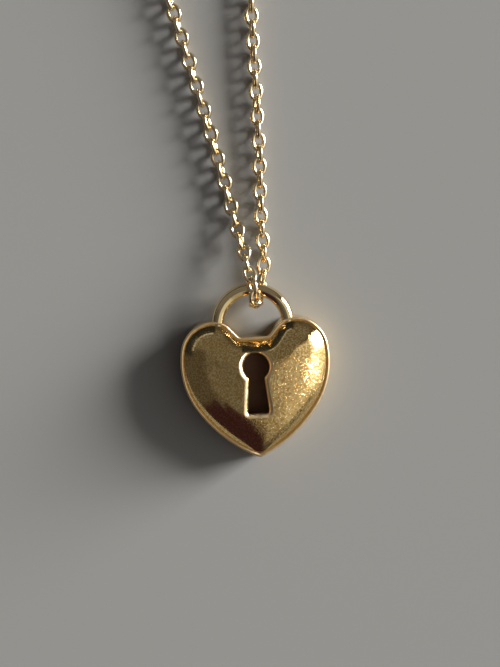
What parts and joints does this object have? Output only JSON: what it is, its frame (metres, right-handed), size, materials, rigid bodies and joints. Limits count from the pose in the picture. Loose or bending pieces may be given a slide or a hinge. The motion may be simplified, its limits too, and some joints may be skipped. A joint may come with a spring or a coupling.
{
  "type": "heart padlock pendant necklace",
  "caption": "Hollow puffed heart padlock pendant with a pierced keyhole and a ring shackle, hung on a fine cable chain that closes with a spring-ring clasp, laid out flat.",
  "frame": {"origin": "on the flat back of the heart, on the surface that the necklace lies on, on the heart's middle line a little above its keyhole's centre", "axes": "+Y up the heart's middle line from its tip to its shackle and on round the loop of chain, +Z out of the heart's front, +X to the right seen from the front"},
  "size_m": [0.0931, 0.2085, 0.0045],
  "materials": {
    "polished_gold_case": "gold plate over brass, mirror polished with fine handling scratches",
    "gold_chain": "gold plate over brass wire, bright and slightly rosy",
    "gold_findings": "gold plate over brass, tumbled bright"
  },
  "bodies": {
    "root": {"heart_padlock": "polished_gold_case", "chain_left": "gold_chain", "chain_right": "gold_chain", "end_ring": "gold_findings", "clasp": "gold_findings", "clasp_ring": "gold_findings"}
  },
  "joints": []
}
